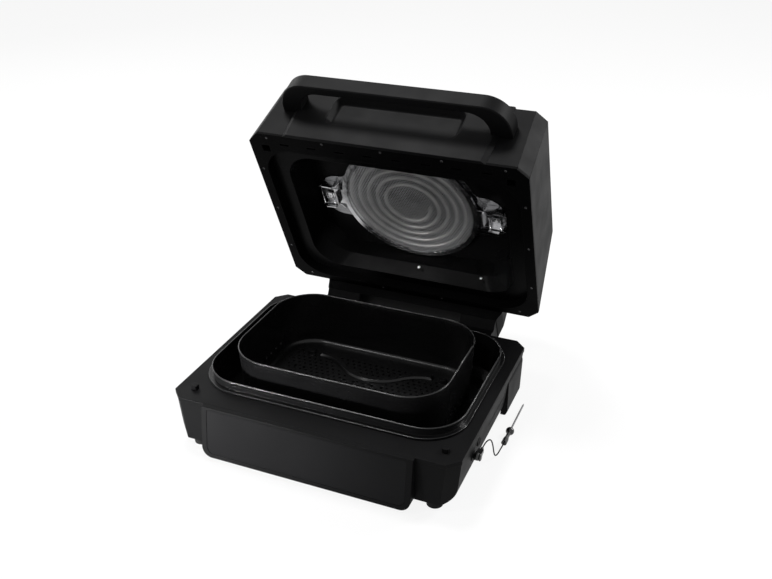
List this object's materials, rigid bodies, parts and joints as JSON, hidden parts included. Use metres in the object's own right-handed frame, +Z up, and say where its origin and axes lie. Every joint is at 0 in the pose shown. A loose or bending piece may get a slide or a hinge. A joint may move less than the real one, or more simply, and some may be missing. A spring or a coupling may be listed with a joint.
{
  "type": "air fryer grill",
  "caption": "Countertop grill and air fryer with a hinged lid standing open, a holed basket in a lift-out pot, a fan, heater and splash guard in the lid, and a plug-in food probe.",
  "frame": {"origin": "on the surface that the feet stand on, under the middle of the cooker with its lid open, probe left out", "axes": "+X to the right of someone who stands at the control panel, +Y to the hinge at the back, +Z up"},
  "size_m": [0.4396, 0.4917, 0.4527],
  "materials": {
    "black_plastic": "satin moulded",
    "panel_gloss": "polished",
    "nonstick": "dark non-stick coating",
    "steel": "bright sheet",
    "element": "satin tube",
    "aluminium": "pressed sheet",
    "motor": "plain",
    "board": "plain",
    "rubber": "matte"
  },
  "bodies": {
    "base": {"base_body": "black_plastic", "base_deck": "black_plastic", "closing_lugs": "black_plastic", "base_plate": "steel", "feet": "rubber", "pot_well": "steel", "panel_housing": "black_plastic", "panel_glass": "panel_gloss", "control_board": "board", "power_board": "board", "hinge_housing": "black_plastic", "hinge_shaft": "steel", "cord_inlet": "black_plastic", "probe_socket": "black_plastic"},
    "pot": {"inner_pot": "nonstick"},
    "basket": {"crisper_basket": "nonstick", "basket_feet": "rubber"},
    "lid": {"lid_shell": "black_plastic", "lid_frame": "black_plastic", "lid_skirt": "nonstick", "lid_liner": "nonstick", "lid_ceiling": "nonstick", "lid_spine": "black_plastic", "grip_recess": "black_plastic", "lid_handle": "black_plastic", "hinge_arms": "black_plastic", "fan_motor": "motor", "shroud_plate": "steel", "heating_element": "element", "heater_bars": "steel", "latch_brackets": "steel"},
    "fan": {"fan_wheel": "aluminium", "fan_blades": "aluminium", "motor_shaft": "steel"},
    "guard": {"guard_ring": "steel", "guard_disc": "steel", "guard_tabs": "steel"},
    "probe": {"probe_plug": "black_plastic", "probe_cable": "rubber", "probe_grip": "black_plastic", "probe_needle": "steel"}
  },
  "joints": [
    {"name": "lid_hinge", "type": "hinge", "parent": "base", "child": "lid", "pos_m": [0, 0.12266, 0.033], "axis": [-1, 0, 0], "range_deg": [-66, 0]},
    {"name": "pot_lift", "type": "slide", "parent": "base", "child": "pot", "axis": [0, 0, 1], "range_m": [0, 0.08]},
    {"name": "basket_lift", "type": "slide", "parent": "pot", "child": "basket", "axis": [0, 0, 1], "range_m": [0, 0.07]},
    {"name": "fan_spin", "type": "hinge", "parent": "lid", "child": "fan", "pos_m": [0, 0.16099, 0.25668], "axis": [0, 0.9135, 0.4067], "continuous": true},
    {"name": "guard_release", "type": "slide", "parent": "lid", "child": "guard", "axis": [0, -0.9135, -0.4067], "range_m": [0, 0.06]},
    {"name": "probe_unplug", "type": "slide", "parent": "base", "child": "probe", "axis": [1, 0, 0], "range_m": [0, 0.025]}
  ]
}
